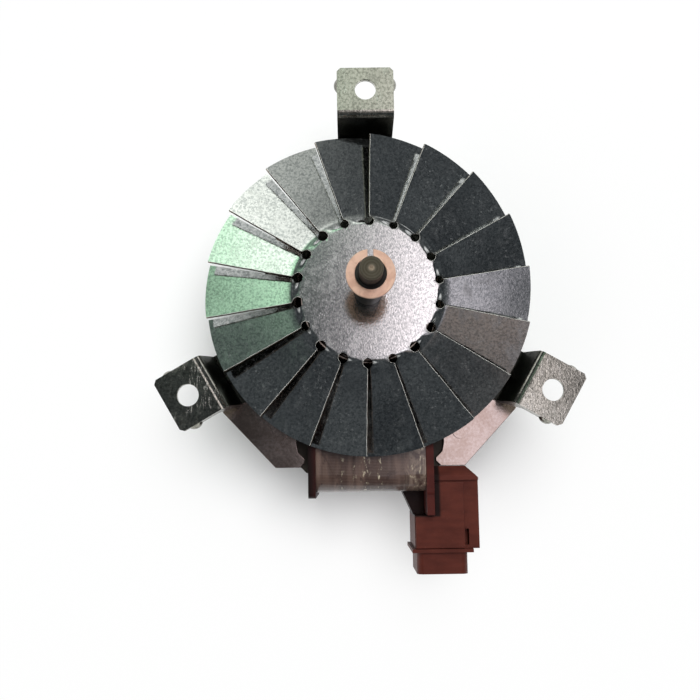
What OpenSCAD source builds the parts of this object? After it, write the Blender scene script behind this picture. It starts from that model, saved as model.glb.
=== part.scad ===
/* [Mounting spider] */
// Diameter of the circle through the three fixing holes
hole_circle_d = 114; // [108:0.5:124]
// Diameter of each fixing hole
hole_d = 6; // [4:0.1:7]
// Width of each arm and tab
tab_w = 16; // [14:0.5:20]
// Distance from the hole centre to the outer end of the tab
tab_end = 6.4; // [5.5:0.1:9]
// Radius at which the tab folds down into the arm wall
fold_r = 49.3; // [48.5:0.1:50.5]
// How far each arm wall leans inwards between tab and base
wall_lean = 2.4; // [1:0.1:3]
// Depth of the spider, from the tab face to the face of its base
spider_drop = 14.5; // [13.5:0.1:18]
// Thickness of the spider sheet
spider_t = 1.5; // [1:0.1:2]
// Inside radius of the spider's folds
bend_r = 0.5; // [0.4:0.1:1.5]
// Depth of the stiffening flanges along both sides of each arm
flange_depth = 4; // [3:0.1:5]
// Diameter of the rounded boss on the end of each flange
ear_d = 4.8; // [4:0.1:6]
// Width of the spider's base ring
base_ring_w = 4.9; // [4.4:0.1:5.4]

/* [Cooling fan] */
// Outer diameter of the fan disc
fan_d = 91.4; // [84:0.1:92]
// Number of blades
blade_count = 18; // [12:1:22]
// Twist of each blade out of the disc, in degrees
blade_pitch = 16.5; // [8:0.5:20]
// Backward slope of the blades from root to tip, in degrees
blade_slope = 2.6; // [0:0.1:4]
// Thickness of the fan sheet
fan_t = 0.8; // [0.5:0.1:1.2]
// Diameter of the circle through the relief holes at the blade roots
relief_circle_d = 40; // [34:0.5:44]
// Diameter of each relief hole
relief_d = 2.6; // [1.5:0.1:3]
// Depth of the fan hub face behind the tab face
fan_drop = 3.1; // [2.6:0.1:3.6]
// Angle of one raised blade edge from the top arm, in degrees
fan_phase = -1.5; // [-10:0.5:10]

/* [Shaft] */
// Diameter of the output end of the shaft
shaft_d = 8; // [7:0.1:9]
// Length of shaft in front of the fan hub
shaft_rise = 29.8; // [26:0.1:40]
// Diameter of the turned-down front end of the shaft
stub_d = 6; // [5:0.1:7]
// Chamfer on the front end of the shaft
shaft_chamfer = 0.3; // [0.2:0.1:0.6]
// Diameter of the shaft in its two bearings
journal_d = 6; // [5:0.1:6.6]
// Length of shaft standing out of the rear bearing cup
tail_length = 2.4; // [1:0.1:6]
// Outer diameter of the split ring on the shaft
ring_d = 12.6; // [12:0.1:16]
// Thickness of the split ring
ring_t = 1.2; // [0.8:0.1:2]
// Width of the slot in the split ring
ring_slot = 1.5; // [1:0.1:2.5]
// Height of the split ring's front face in front of the fan hub
ring_rise = 23; // [18:0.1:24]

/* [Motor stack] */
// Width of the lamination stack
stack_w = 60; // [59:0.5:62]
// Height of the stack above the shaft axis
stack_top = 25; // [24:0.5:28]
// Depth of the stack's legs below the shaft axis
leg_drop = 48.6; // [48.2:0.1:51]
// Thickness of the stack along the shaft
stack_t = 16; // [14:0.5:20]
// Bore of the stack round the rotor
stator_bore = 31; // [30:0.1:33]
// Air gap between rotor and bore
air_gap = 0.3; // [0.25:0.05:0.5]
// Number of bars in the rotor cage
bar_count = 17; // [12:1:22]
// Thickness of the sheet of both bearing brackets
bracket_t = 1.5; // [1.2:0.1:2]
// Diameter of each bearing cup
cup_d = 22; // [21:0.1:24]
// Height of each bearing cup from the face of the stack
cup_h = 10.3; // [9.8:0.1:10.6]
// Diameter of the rivets through the stack
rivet_d = 3; // [2:0.1:4]

/* [Coil] */
// Width of the limb that carries the coil
limb_w = 11; // [9:0.5:12]
// Distance from the shaft axis to the limb's centre line
limb_drop = 43.5; // [43:0.1:45]
// Depth of wire wound on the bobbin
wire_depth = 5.2; // [4:0.1:5.4]
// Wall thickness of the bobbin tube
bobbin_wall = 1; // [0.8:0.1:1.1]
// Distance between the outer faces of the bobbin flanges
bobbin_w = 35.2; // [33:0.1:36]
// Thickness of each bobbin flange
bobbin_flange_t = 2.1; // [1.5:0.1:2.6]
// How far each bobbin flange stands out beyond the wire
bobbin_lip = 1.5; // [0.8:0.1:1.6]
// Thickness of the tape round the wire
tape_t = 0.4; // [0.2:0.05:0.6]

/* [Connector] */
// Width of the connector housing beside the coil
housing_w = 12.7; // [11:0.1:15]
// Height of the housing, from its top edge to its ledge
housing_h = 22.9; // [20:0.1:26]
// Depth of the housing along the shaft
housing_depth = 20; // [18:0.5:23]
// Width of the plug shroud
shroud_w = 14.3; // [13.9:0.1:18]
// Length of the plug shroud below the ledge
shroud_h = 6; // [4:0.1:10]
// Wall thickness of the plug shroud
shroud_wall = 1.4; // [1:0.1:1.7]
// Width of each flat terminal
terminal_w = 6.3; // [4.8:0.1:6.3]
// Thickness of each flat terminal
terminal_t = 0.8; // [0.5:0.1:1]

/* [Hidden] */
$fn = 72;

// Small clearances between pieces that are put together by hand
slip = 0.05;
running = 0.03;

// Heights along the shaft axis, from the face of the tabs
base_face = -spider_drop;
base_back = base_face - spider_t;
stack_front = base_back - bracket_t;
stack_back = stack_front - stack_t;
stack_mid = (stack_front + stack_back) / 2;
hub_face = -fan_drop;
hub_back = hub_face - fan_t;

// Rounded paths in a plane
bend_steps = 6;
function unit(v) = v / norm(v);
function turn(a, b, c) = let(u = unit(a - b), v = unit(c - b)) acos(u * v);
function corner_arc(a, b, c, r) =
    let(
        half = turn(a, b, c) / 2,
        u = unit(a - b),
        v = unit(c - b),
        centre = b + unit(u + v) * r / sin(half),
        from = b + u * r / tan(half) - centre,
        to = b + v * r / tan(half) - centre,
        sweep = 180 - 2 * half,
        side = (from.x * to.y - from.y * to.x) > 0 ? 1 : -1
    )
    [for (i = [0 : bend_steps])
        let(t = side * sweep * i / bend_steps)
        centre + [from.x * cos(t) - from.y * sin(t), from.x * sin(t) + from.y * cos(t)]];
function rounded(path, radii) = [
    for (i = [0 : len(path) - 1])
        each (i == 0 || i == len(path) - 1 || radii[i] == 0
            ? [path[i]]
            : corner_arc(path[i - 1], path[i], path[i + 1], radii[i]))];
function reversed(path) = [for (i = [len(path) - 1 : -1 : 0]) path[i]];
function mirrored(path) = concat(path, [for (p = reversed(path)) [-p.x, p.y]]);

// The dish and cup that both brackets carry round the shaft
rotor_r = stator_bore / 2 - air_gap;
cage_ring_h = 2.5;
shading_r = stator_bore / 2 + 1.8;
shading_d = 1.6;
loop_w = 1.8;
dish_r = shading_r + loop_w / 2 + 0.8;
dish_gap = 0.9;
dish_in = cage_ring_h + dish_gap;
dish_foot = 1.6;
cup_r = cup_d / 2;

// The spider: three pressed channel arms on one ring
base_ring_bore = 2 * (dish_r + dish_foot + 0.9);
base_ring_d = base_ring_bore + 2 * base_ring_w;
hole_r = hole_circle_d / 2;
tab_end_r = hole_r + tab_end;
arm_angles = [90, 210, 330];
arm_root_r = base_ring_bore / 2 - 3;
wall_angle = atan(wall_lean / spider_drop);
tab_chamfer = 1;
ear_proud = 0.9;
ear_root = 0.2;
ear_r = hole_r + 2.2;
gusset_r = 1.5;
foot_gap = 2.6;
function wall_face(z) = fold_r + z * wall_lean / spider_drop;
function wall_back(z) = wall_face(z) + spider_t / cos(wall_angle);
foot_r = wall_face(base_face);
arm_front = [[tab_end_r, 0], [fold_r, 0], [foot_r, base_face], [arm_root_r, base_face]];
arm_behind = [[tab_end_r, -spider_t], [wall_back(-spider_t), -spider_t],
    [wall_back(base_back), base_back], [arm_root_r, base_back]];
flange_foot = base_face + foot_gap;
flange_path = [[ear_r, 0], [fold_r, 0], [wall_face(flange_foot), flange_foot],
    [wall_face(flange_foot) + flange_depth / 2, flange_foot],
    [wall_face(-flange_depth) + flange_depth, -flange_depth], [ear_r, -flange_depth]];

module arm_sheet() {
    front = rounded(arm_front, [0, bend_r + spider_t, bend_r, 0]);
    behind = rounded(arm_behind, [0, bend_r, bend_r + spider_t, 0]);
    rotate([90, 0, 0])
        linear_extrude(tab_w, center = true)
            polygon(concat(front, reversed(behind)));
}

module arm_flange() {
    outline = rounded(flange_path, [0, bend_r + spider_t, 0, 0, bend_r, 0]);
    rotate([90, 0, 0])
        linear_extrude(spider_t, center = true)
            polygon(outline);
}

module arm_ear(side) {
    intersection() {
        translate([0, side * (ear_proud - ear_d / 2), 0])
            sphere(d = ear_d);
        translate([0, side * (ear_d - spider_t + ear_root), 0])
            cube(2 * ear_d, center = true);
    }
}

module tab_corner(side) {
    edge = tab_w / 2;
    translate([tab_end_r, side * edge, -spider_t])
        rotate([0, 0, 45])
            cube([tab_chamfer * sqrt(2), tab_chamfer * sqrt(2), 3 * spider_t], center = true);
}

module spider_arm() {
    flange_y = (tab_w - spider_t) / 2;
    difference() {
        union() {
            arm_sheet();
            for (side = [-1, 1]) {
                translate([0, side * flange_y, 0])
                    arm_flange();
                translate([ear_r, side * tab_w / 2, -ear_d / 2 - 0.3])
                    arm_ear(side);
            }
            translate([foot_r - gusset_r / 3, 0, base_face + gusset_r / 5])
                sphere(r = gusset_r);
        }
        translate([hole_r, 0, -2 * spider_t])
            cylinder(d = hole_d, h = 3 * spider_t);
        for (side = [-1, 1])
            tab_corner(side);
    }
}

rivet_circle_r = (base_ring_d + base_ring_bore) / 4;
spider_rivet_d = 2.2;
spider_rivet_head = 3.8;
rivet_head_h = 0.6;
cap_gap = 0.5;
ring_step = 0.03;

module mounting_spider() {
    color([0.62, 0.64, 0.60])
        difference() {
            union() {
                for (a = arm_angles)
                    rotate([0, 0, a])
                        spider_arm();
                translate([0, 0, base_back])
                    cylinder(d = base_ring_d, h = spider_t - ring_step);
            }
            translate([0, 0, base_back - 1])
                cylinder(d = base_ring_bore, h = spider_t + 2);
            for (a = arm_angles)
                rotate([0, 0, a])
                    translate([rivet_circle_r, 0, base_back - 1])
                        cylinder(d = spider_rivet_d, h = spider_t + 2);
            for (p = rivet_places)
                translate([p.x, p.y, base_back - 1])
                    cylinder(d = rivet_cap_d + 2 * cap_gap, h = spider_t + 2);
        }
}

module spider_rivets() {
    color([0.70, 0.70, 0.68])
        for (a = arm_angles)
            rotate([0, 0, a])
                translate([rivet_circle_r, 0, 0]) {
                    translate([0, 0, stack_front])
                        cylinder(d = spider_rivet_d, h = spider_t + bracket_t + rivet_head_h);
                    translate([0, 0, base_face])
                        cylinder(d = spider_rivet_head, h = rivet_head_h);
                }
}

// The two brackets that carry the bearings
cup_bore_r = journal_d / 2 + 1.4;
window_gap = 0.6;
coil_build = bobbin_wall + wire_depth + tape_t;
coil_half_y = limb_w / 2 + coil_build + bobbin_lip;
window_y = -limb_drop + coil_half_y + window_gap;
stack_half = stack_w / 2;
corner_x = 10;
corner_y = 9;
rivet_x = stack_half - 4.1;
rivet_low_y = 9.8 - leg_drop;
rivet_high_y = stack_top - 10;
rivet_cap_d = 4.4;
rivet_cap_h = 0.7;
rivet_places = [for (x = [-rivet_x, rivet_x], y = [rivet_low_y, rivet_high_y]) [x, y]];
lobe_x = stack_half + 12.6;
lobe_y = 32.8;
lobe_slope_x = lobe_x - 1.6;
lobe_slope_y = -22;
lobe_root_y = -12;
plate_foot_x = stack_half - 2.9;
foot_chamfer = 1.4;
notch_x = bobbin_w / 2 + 1.2;
recess_x = bobbin_w / 2 + 3.5;
recess_y = 4.2 - leg_drop;
lug_d = 11;
lug_neck = 10;

module bracket_dish(t) {
    front = rounded([[dish_r + 4, t], [dish_r + dish_foot, t], [dish_r, dish_in + t],
        [cup_r, dish_in + t], [cup_r, cup_h], [cup_bore_r, cup_h]], [0, 0.6, 1.4, 0.6, 1.4, 0]);
    behind = rounded([[dish_r + 4, 0], [dish_r + dish_foot - t, 0], [dish_r - t * 0.8, dish_in],
        [cup_r - t, dish_in], [cup_r - t, cup_h - t], [cup_bore_r, cup_h - t]], [0, 1, 0.4, 0.5, 0, 0]);
    rotate_extrude()
        polygon(concat(front, reversed(behind)));
}

module front_plate_outline() {
    half = [[0, stack_top - 1], [stack_half - corner_x, stack_top - 1],
        [stack_half - 1, stack_top - corner_y], [stack_half - 1, lobe_root_y],
        [lobe_slope_x, lobe_slope_y], [lobe_x, 1 - lobe_y], [lobe_x - 0.6, -lobe_y],
        [plate_foot_x, -leg_drop], [notch_x + foot_chamfer, -leg_drop], [notch_x, foot_chamfer - leg_drop],
        [notch_x, 2.4 - leg_drop], [recess_x - 0.5, recess_y], [recess_x, recess_y + 2.3],
        [recess_x, window_y - 3], [recess_x - 3, window_y], [0, window_y]];
    polygon(mirrored(half));
}

module rear_plate_outline() {
    difference() {
        union() {
            circle(r = dish_r + 4.5);
            for (p = rivet_places) {
                rotate([0, 0, atan2(p.y, p.x)])
                    translate([0, -lug_neck / 2])
                        square([norm(p), lug_neck]);
                translate(p)
                    circle(d = lug_d);
            }
        }
        translate([-notch_x, -2 * leg_drop])
            square([2 * notch_x, 2 * leg_drop + window_y]);
        translate([stack_half, -2 * leg_drop])
            square([stack_half, 4 * leg_drop]);
        translate([-2 * stack_half, -2 * leg_drop])
            square([stack_half, 4 * leg_drop]);
    }
}

module rivet_holes(from, depth) {
    for (p = rivet_places)
        translate([p.x, p.y, from])
            cylinder(d = rivet_d + 2 * slip, h = depth);
}

module front_bracket() {
    color([0.42, 0.33, 0.28])
        translate([0, 0, stack_front])
            difference() {
                union() {
                    linear_extrude(bracket_t)
                        difference() {
                            front_plate_outline();
                            circle(r = dish_r + 3);
                        }
                    bracket_dish(bracket_t);
                }
                rivet_holes(-1, bracket_t + 2);
                for (a = arm_angles)
                    rotate([0, 0, a])
                        translate([rivet_circle_r, 0, -1])
                            cylinder(d = spider_rivet_d + 2 * slip, h = bracket_t + 2);
            }
}

module rear_bracket() {
    color([0.60, 0.61, 0.60])
        translate([0, 0, stack_back])
            mirror([0, 0, 1])
                difference() {
                    union() {
                        linear_extrude(bracket_t)
                            difference() {
                                rear_plate_outline();
                                circle(r = dish_r + 3);
                            }
                        bracket_dish(bracket_t);
                    }
                    rivet_holes(-1, bracket_t + 2);
                }
}

module bracket_rivets() {
    color([0.72, 0.72, 0.70])
        for (p = rivet_places)
            translate([p.x, p.y, 0]) {
                translate([0, 0, stack_back - bracket_t])
                    cylinder(d = rivet_d, h = stack_t + 2 * bracket_t);
                translate([0, 0, stack_front + bracket_t])
                    cylinder(d = rivet_cap_d, h = rivet_cap_h);
                translate([0, 0, stack_back - bracket_t - rivet_cap_h])
                    cylinder(d = rivet_cap_d, h = rivet_cap_h);
            }
}

// The stack, its coil limb and the shading rings
leg_in = bobbin_w / 2 + 0.4;
leg_chamfer = 3;
toe_w = 1.9;
toe_drop = 1.6;
window_chamfer = 0.4;
tongue_l = 2.4;
tongue_root = 3;
tongue_tip = 4;
shading_spans = [[8, 34], [42, 68], [188, 214], [222, 248]];

module limb_outline() {
    end = leg_in + tongue_l;
    translate([0, -limb_drop]) {
        square([2 * leg_in, limb_w], center = true);
        polygon([[-end, -tongue_tip], [-leg_in, -tongue_root], [leg_in, -tongue_root], [end, -tongue_tip],
            [end, tongue_tip], [leg_in, tongue_root], [-leg_in, tongue_root], [-end, tongue_tip]]);
    }
}

module stack_outline() {
    half = [[0, stack_top], [stack_half - corner_x, stack_top], [stack_half, stack_top - corner_y],
        [stack_half, leg_chamfer - leg_drop], [stack_half - leg_chamfer, -leg_drop],
        [leg_in + toe_w, -leg_drop], [leg_in + 0.3, -leg_drop - toe_drop], [leg_in, -leg_drop - toe_drop],
        [leg_in, window_y - window_chamfer], [leg_in - window_chamfer, window_y], [0, window_y]];
    difference() {
        polygon(mirrored(half));
        circle(d = stator_bore);
        translate([0, window_y])
            circle(r = 5);
        translate([0, stack_top])
            circle(r = 4);
        limb_outline();
        for (p = rivet_places)
            translate(p)
                circle(d = rivet_d + 2 * slip);
        for (span = shading_spans, a = span)
            rotate([0, 0, a])
                translate([shading_r, 0])
                    circle(d = shading_d);
    }
}

module lamination_stack() {
    color([0.30, 0.24, 0.20])
        translate([0, 0, stack_back])
            linear_extrude(stack_t)
                stack_outline();
}

module core_limb() {
    color([0.32, 0.26, 0.22])
        translate([0, 0, stack_back])
            linear_extrude(stack_t)
                limb_outline();
}

module shading_rings() {
    past_bar = 3;
    color([0.72, 0.42, 0.26])
        for (span = shading_spans) {
            for (a = span)
                rotate([0, 0, a])
                    translate([shading_r, 0, stack_back - loop_w / 2])
                        cylinder(d = shading_d, h = stack_t + loop_w);
            for (z = [stack_front, stack_back - loop_w])
                translate([0, 0, z])
                    rotate([0, 0, span[0] - past_bar])
                        rotate_extrude(angle = span[1] - span[0] + 2 * past_bar)
                            translate([shading_r - loop_w / 2, 0])
                                square(loop_w);
        }
}

// The coil: bobbin, wire and tape round the limb
limb_y = limb_w + 2 * slip;
limb_z = stack_t + 2 * slip;
tube_y = limb_y + 2 * bobbin_wall;
tube_z = limb_z + 2 * bobbin_wall;
wire_y = tube_y + 2 * wire_depth;
wire_z = tube_z + 2 * wire_depth;
tape_y = wire_y + 2 * tape_t;
tape_z = wire_z + 2 * tape_t;
flange_y = tape_y + 2 * bobbin_lip;
flange_z = tape_z + 0.8;
wire_corner = 4.5;
wire_w = bobbin_w - 2 * bobbin_flange_t;
strap_end_y = -leg_drop - 13.6;

module rounded_rect(w, h, r) {
    square([w - 2 * r, h], center = true);
    square([w, h - 2 * r], center = true);
    for (x = [-1, 1], y = [-1, 1])
        translate([x * (w / 2 - r), y * (h / 2 - r)])
            circle(r = r);
}

module across(x, w) {
    translate([x, -limb_drop, stack_mid])
        rotate([90, 0, 90])
            linear_extrude(w)
                children();
}

module coil_bobbin() {
    color([0.36, 0.13, 0.10])
        difference() {
            union() {
                across(-bobbin_w / 2, bobbin_w)
                    square([tube_y, tube_z], center = true);
                for (x = [-bobbin_w / 2, bobbin_w / 2 - bobbin_flange_t])
                    across(x, bobbin_flange_t)
                        rounded_rect(flange_y, flange_z, 1.5);
                translate([bobbin_w / 2 - bobbin_flange_t, strap_end_y, housing_back])
                    cube([bobbin_flange_t, -strap_end_y - limb_drop, strap_front - housing_back]);
            }
            across(-bobbin_w, 2 * bobbin_w)
                square([limb_y, limb_z], center = true);
        }
}

module coil_winding() {
    color([0.68, 0.36, 0.22])
        difference() {
            across(-wire_w / 2, wire_w)
                rounded_rect(wire_y, wire_z, wire_corner);
            across(-bobbin_w, 2 * bobbin_w)
                square([tube_y, tube_z], center = true);
        }
}

module coil_tape() {
    color([0.45, 0.34, 0.30])
        difference() {
            across(-wire_w / 2, wire_w)
                rounded_rect(tape_y, tape_z, wire_corner + tape_t);
            across(-bobbin_w, 2 * bobbin_w)
                rounded_rect(wire_y, wire_z, wire_corner);
        }
}

// The connector beside the coil, with its plug shroud pointing away from the shaft
housing_x = bobbin_w / 2;
housing_right = housing_x + housing_w;
housing_top = -leg_drop - 0.2;
housing_bottom = housing_top - housing_h;
housing_front = -14.6;
housing_back = housing_front - housing_depth;
strap_front = stack_mid + flange_z / 2 - 0.3;
cover_t = 1;
cover_front = housing_front + cover_t;
cover_right = housing_x + 8.5;
rim_y = housing_top - 2.4;
rim_h = 1.5;
cover_top = rim_y - rim_h - 0.6;
step_top = strap_end_y - 0.2;
step_x = housing_x - 5.4;
step_back_top = -leg_drop - toe_drop - 0.4;
corner_cut = 3.3;
ledge_t = 1;
ledge_x = housing_x - 6.3;
ledge_right = housing_x + 10.8;
shroud_x = housing_x - 5;
shroud_right = shroud_x + shroud_w;
shroud_front = housing_front + 0.2;
shroud_back = housing_back + 1.8;
shroud_end = housing_bottom - ledge_t - shroud_h;
cavity_top = housing_bottom + 5.6;
terminal_gap = 5.8;
terminal_top = housing_bottom + 9;
terminal_end = shroud_end + 1.6;
shroud_mid_x = (shroud_x + shroud_right) / 2;
shroud_mid_z = (shroud_front + shroud_back) / 2;

module housing_side() {
    polygon([[rim_y, cover_front], [housing_top + 0.1, base_back - 0.2],
        [housing_top + 0.1, stack_front + 0.3], [step_back_top, stack_front + 0.1],
        [step_back_top, housing_back], [housing_bottom, housing_back],
        [housing_bottom, housing_front], [rim_y - rim_h, housing_front], [rim_y - rim_h, cover_front]]);
}

module terminal_blades(clear) {
    for (side = [-0.5, 0.5])
        translate([shroud_mid_x + side * terminal_gap - terminal_t / 2 - clear, terminal_end,
            shroud_mid_z - terminal_w / 2 - clear])
            cube([terminal_t + 2 * clear, terminal_top - terminal_end + clear, terminal_w + 2 * clear]);
}

module plug_cavity() {
    inner_w = shroud_w - 2 * shroud_wall;
    inner_h = shroud_front - shroud_back - 2 * shroud_wall;
    translate([shroud_mid_x, shroud_end - 1, shroud_mid_z])
        rotate([-90, 0, 0])
            linear_extrude(cavity_top - shroud_end + 1)
                rounded_rect(inner_w, inner_h, 1);
}

module connector_housing() {
    color([0.34, 0.14, 0.12])
        difference() {
            union() {
                difference() {
                    translate([housing_x, 0, 0])
                        rotate([90, 0, 90])
                            linear_extrude(housing_w)
                                housing_side();
                    translate([housing_right, housing_top + 0.1, housing_back - 1])
                        rotate([0, 0, 45])
                            cube([corner_cut * sqrt(2), corner_cut * sqrt(2), 3 * housing_depth], center = true);
                }
                translate([step_x, housing_bottom, housing_back])
                    cube([housing_x - step_x, step_top - housing_bottom, housing_depth]);
                translate([ledge_x, housing_bottom - ledge_t, housing_back])
                    cube([ledge_right - ledge_x, ledge_t, housing_depth + cover_t + 0.4]);
                translate([shroud_mid_x, shroud_end, shroud_mid_z])
                    rotate([-90, 0, 0])
                        linear_extrude(shroud_h)
                            rounded_rect(shroud_w, shroud_front - shroud_back, 1.8);
                wire_channel();
            }
            plug_cavity();
            terminal_blades(slip);
            translate([cover_right + 0.2, housing_bottom + 1, housing_front - 3])
                cube([1.1, 4.4, 4]);
        }
}

module wire_channel() {
    channel_x = step_x - 3;
    channel_h = 10;
    top = -limb_drop - tape_y / 2 - 0.1;
    right = housing_x - bobbin_flange_t - 0.1;
    foot = step_top - 1;
    translate([0, 0, stack_mid - channel_h / 2])
        linear_extrude(channel_h)
            polygon([[channel_x, top], [channel_x + 1.2, top - 2.6], [step_x, step_top], [step_x, foot],
                [right, foot], [right, top]]);
}

module connector_cover() {
    color([0.38, 0.16, 0.14])
        translate([0, 0, housing_front])
            linear_extrude(cover_t)
                polygon([[housing_x + 0.3, cover_top], [cover_right, cover_top],
                    [cover_right, housing_bottom + 0.1], [step_x + 0.2, housing_bottom + 0.1],
                    [step_x + 0.2, step_top - 0.1], [housing_x + 0.3, step_top - 0.1]]);
}

module terminals() {
    color([0.80, 0.74, 0.52])
        terminal_blades(0);
}

// The bearings, drawn upwards from the face of the stack
bush_r = 6.3;
bush_l = 6.4;
bush_top = cup_h - bracket_t;
bush_mid = bush_top - bush_l / 2;
retainer_t = 0.6;
felt_r = bush_r + slip;

module at_front() {
    translate([0, 0, stack_front])
        children();
}

module at_rear() {
    translate([0, 0, stack_back])
        mirror([0, 0, 1])
            children();
}

module bush() {
    translate([0, 0, bush_mid])
        rotate_extrude()
            intersection() {
                circle(r = bush_r);
                translate([journal_d / 2 + running, -bush_l / 2])
                    square([bush_r, bush_l]);
            }
}

module felt() {
    low = dish_in + retainer_t;
    translate([0, 0, low])
        difference() {
            cylinder(r = cup_r - bracket_t, h = bush_top - low);
            translate([0, 0, -1])
                cylinder(r = felt_r, h = bush_top);
        }
}

module retainer() {
    translate([0, 0, dish_in])
        difference() {
            cylinder(r = cup_r - bracket_t - slip, h = retainer_t);
            translate([0, 0, -1])
                cylinder(r = felt_r, h = retainer_t + 2);
            for (i = [0 : 5])
                rotate([0, 0, 60 * i])
                    translate([felt_r - 0.5, -0.6, -1])
                        cube([2, 1.2, retainer_t + 2]);
        }
}

bronze = [0.62, 0.50, 0.34];
wool = [0.78, 0.74, 0.66];
spring_steel = [0.70, 0.70, 0.68];

module front_bearing() {
    color(bronze)
        at_front()
            bush();
}

module rear_bearing() {
    color(bronze)
        at_rear()
            bush();
}

module front_felt() {
    color(wool)
        at_front()
            felt();
}

module rear_felt() {
    color(wool)
        at_rear()
            felt();
}

module front_retainer() {
    color(spring_steel)
        at_front()
            retainer();
}

module rear_retainer() {
    color(spring_steel)
        at_rear()
            retainer();
}

// The rotor, the shaft and what turns with them
press = 0.01;
fan_bush_h = 2.5;
fan_bush_r = 6.5;
shoulder_z = hub_back - fan_bush_h - 0.2;
shaft_end = hub_face + shaft_rise;
shaft_tail = stack_back - cup_h - tail_length;
stub_root = hub_face + ring_rise - 0.3;
dimple_r = 0.6;
bar_d = 2.2;
bar_r = rotor_r - bar_d / 2 - 0.9;
cage_in_r = bar_r - bar_d / 2 - 1.5;
cage_out_r = bar_r + bar_d / 2 + 0.1;
washer_gap = 0.2;
washer_h = bush_mid - bush_l / 2 - washer_gap;

module shaft() {
    journal_r = journal_d / 2;
    shaft_r = shaft_d / 2;
    stub_r = stub_d / 2;
    tail_chamfer = 0.5;
    shoulder_chamfer = 0.3;
    color([0.36, 0.35, 0.34])
        rotate_extrude()
            polygon([[0, shaft_tail], [journal_r - tail_chamfer, shaft_tail],
                [journal_r, shaft_tail + tail_chamfer], [journal_r, shoulder_z],
                [shaft_r - shoulder_chamfer, shoulder_z], [shaft_r, shoulder_z + shoulder_chamfer],
                [shaft_r, stub_root], [stub_r, stub_root],
                [stub_r, shaft_end - shaft_chamfer], [stub_r - shaft_chamfer, shaft_end],
                [dimple_r, shaft_end], [0, shaft_end - dimple_r]]);
}

module rotor_core() {
    color([0.40, 0.36, 0.33])
        translate([0, 0, stack_back])
            linear_extrude(stack_t)
                difference() {
                    circle(r = rotor_r);
                    circle(d = journal_d + 2 * press);
                    for (i = [0 : bar_count - 1])
                        rotate([0, 0, i * 360 / bar_count])
                            translate([bar_r, 0])
                                circle(d = bar_d);
                }
}

module rotor_cage() {
    color([0.75, 0.76, 0.77]) {
        for (i = [0 : bar_count - 1])
            rotate([0, 0, i * 360 / bar_count])
                translate([bar_r, 0, stack_back])
                    cylinder(d = bar_d, h = stack_t);
        for (z = [stack_front, stack_back - cage_ring_h])
            translate([0, 0, z])
                difference() {
                    cylinder(r = cage_out_r, h = cage_ring_h);
                    translate([0, 0, -1])
                        cylinder(r = cage_in_r, h = cage_ring_h + 2);
                }
    }
}

module thrust_washer() {
    difference() {
        cylinder(r = 5.2, h = washer_h);
        translate([0, 0, -1])
            cylinder(d = journal_d + 2 * press, h = washer_h + 2);
    }
}

washer_colour = [0.80, 0.72, 0.50];

module front_washer() {
    color(washer_colour)
        at_front()
            thrust_washer();
}

module rear_washer() {
    color(washer_colour)
        at_rear()
            thrust_washer();
}

module fan_bush() {
    color([0.55, 0.55, 0.53])
        translate([0, 0, hub_back - fan_bush_h])
            difference() {
                cylinder(r = fan_bush_r, h = fan_bush_h);
                translate([0, 0, -1])
                    cylinder(d = shaft_d + 2 * press, h = fan_bush_h + 2);
            }
}

module split_ring() {
    color([0.78, 0.54, 0.42])
        translate([0, 0, hub_face + ring_rise - ring_t])
            difference() {
                cylinder(d = ring_d, h = ring_t);
                translate([0, 0, -1])
                    cylinder(d = shaft_d + 2 * press, h = ring_t + 2);
                translate([-ring_slot / 2, 0, -1])
                    cube([ring_slot, ring_d, ring_t + 2]);
            }
}

// The cooling fan: one disc, slit into blades that are twisted out of it
fan_r = fan_d / 2;
relief_r = relief_circle_d / 2;
relief_hole_r = relief_d / 2;
blade_angle = 360 / blade_count;
slit = 0.3;
blade_columns = 4;
hub_r = relief_r - relief_hole_r;
blade_root_r = hub_r - 0.5;
root_inset = 0.1;
blade_bend_r = hub_r + 0.1;
blade_full_r = relief_r + 2.2;
blade_rows = [blade_root_r, blade_bend_r, relief_r - 0.6 * relief_hole_r, relief_r,
    relief_r + 0.5 * relief_hole_r, relief_r + 0.85 * relief_hole_r, relief_r + relief_hole_r,
    blade_full_r, fan_r];
function smooth(t) = let(s = max(0, min(1, t))) s * s * (3 - 2 * s);
function bend_share(r) = smooth((r - blade_bend_r) / (blade_full_r - blade_bend_r));
function edge_gap(r) = let(d = abs(r - relief_r))
    d < relief_hole_r ? max(slit / 2, sqrt(relief_hole_r * relief_hole_r - d * d)) : slit / 2;
function blade_point(r, share, sheet_depth) =
    let(
        inset = r == blade_root_r ? root_inset : 0,
        depth = sheet_depth == 0 ? inset : sheet_depth - inset,
        gap = edge_gap(r) / r * 180 / PI,
        drop_angle = gap + share * (blade_angle - 2 * gap),
        twist = blade_pitch * bend_share(r),
        along = r * cos(drop_angle),
        beside = r * sin(drop_angle),
        fall = tan(blade_slope) * max(0, along - relief_r)
    )
    [along, -beside * cos(twist) - depth * sin(twist),
        hub_face - fall - beside * sin(twist) - depth * cos(twist)];
blade_top = [for (r = blade_rows, i = [0 : blade_columns]) blade_point(r, i / blade_columns, 0)];
blade_under = [for (r = blade_rows, i = [0 : blade_columns]) blade_point(r, i / blade_columns, fan_t)];
blade_stride = blade_columns + 1;
blade_size = len(blade_rows) * blade_stride;
blade_last = len(blade_rows) - 1;
blade_skin = [for (j = [0 : blade_last - 1], i = [0 : blade_columns - 1])
    let(a = j * blade_stride + i)
    each [[a, a + blade_stride, a + blade_stride + 1], [a, a + blade_stride + 1, a + 1]]];
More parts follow.
